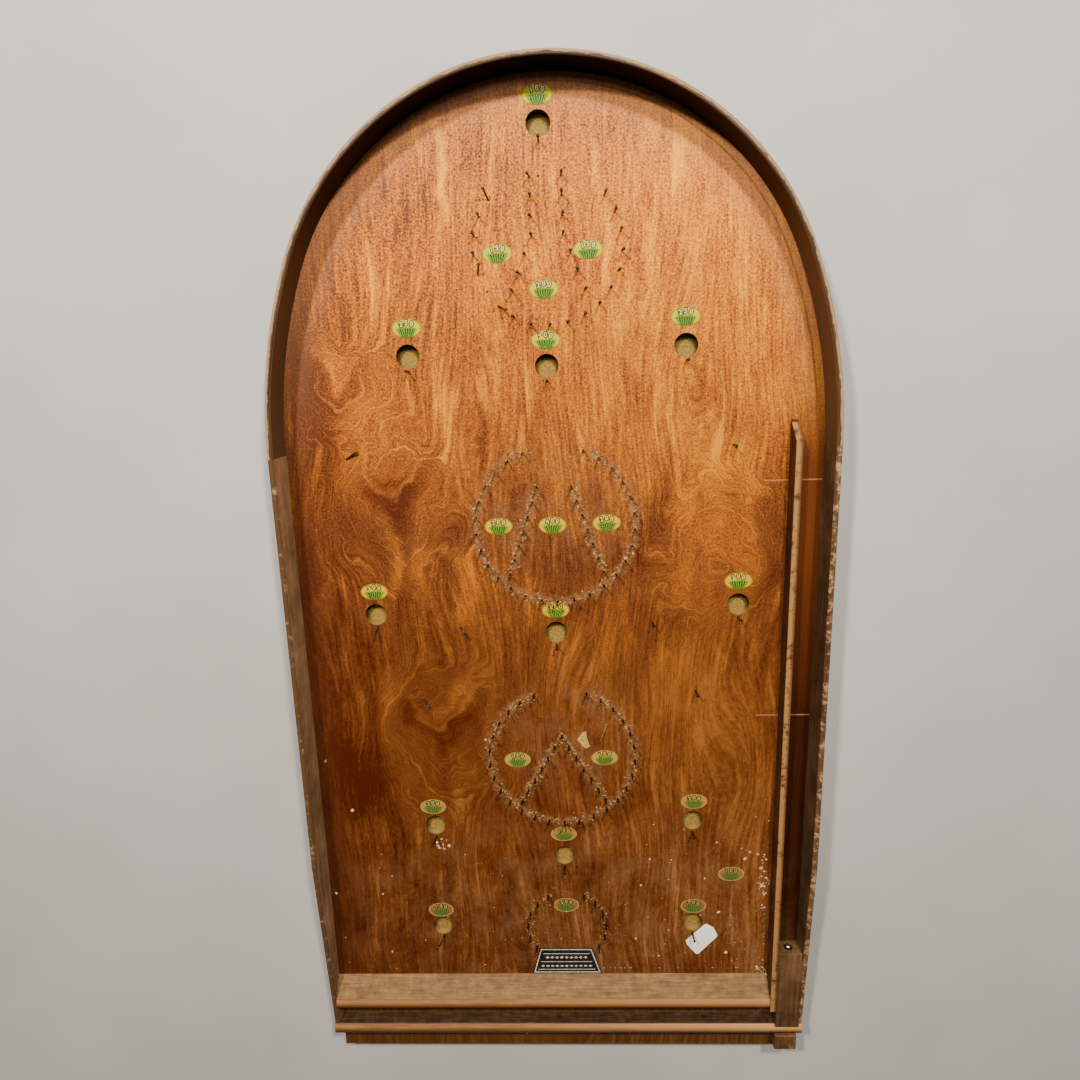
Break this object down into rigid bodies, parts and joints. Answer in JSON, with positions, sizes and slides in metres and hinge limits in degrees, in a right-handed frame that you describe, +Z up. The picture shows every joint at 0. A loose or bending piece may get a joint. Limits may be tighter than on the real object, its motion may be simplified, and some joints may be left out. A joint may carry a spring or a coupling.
{
  "type": "bagatelle board",
  "caption": "Vintage arched wooden bagatelle board with a bent rim, nail rings, twelve scoring cups, a ball trough and a pull plunger",
  "frame": {"origin": "centre of the board's bounding box, on the surface that the board lies on", "axes": "+X across the board to the plunger lane, +Y along it to the arch, +Z up out of the playfield"},
  "size_m": [0.395, 0.765, 0.038],
  "materials": {
    "varnished_plywood": "gloss",
    "rim_wood": "worn varnish",
    "rail_wood": "worn varnish",
    "block_wood": "worn varnish",
    "pin_steel": "tarnished",
    "nail_steel": "tarnished",
    "bright_steel": "satin"
  },
  "bodies": {
    "board": {"playfield_panel": "varnished_plywood", "arch_rim": "rim_wood", "left_rim": "rim_wood", "right_rim": "rim_wood", "rim_nails": "nail_steel", "lane_divider": "rail_wood", "stop_rail": "rail_wood", "bottom_rail": "rail_wood", "lane_block": "block_wood", "trough_filler": "block_wood", "top_ring_pins": "pin_steel", "top_neck_pins": "pin_steel", "middle_ring_pins": "pin_steel", "middle_leg_pins": "pin_steel", "lower_ring_pins": "pin_steel", "lower_leg_pins": "pin_steel", "bottom_ring_pins": "pin_steel", "cup_stop_pins": "pin_steel", "guard_pins": "pin_steel"},
    "plunger": {"plunger_rod": "bright_steel", "plunger_collar": "bright_steel", "plunger_spring": "bright_steel", "plunger_handle": "block_wood"}
  },
  "joints": [
    {"name": "plunger_pull", "type": "slide", "parent": "board", "child": "plunger", "axis": [0, -1, 0], "range_m": [0, 0.025], "stiffness_N_per_m": 120, "springref_m": -0.004, "deforming": ["plunger_spring"]}
  ]
}
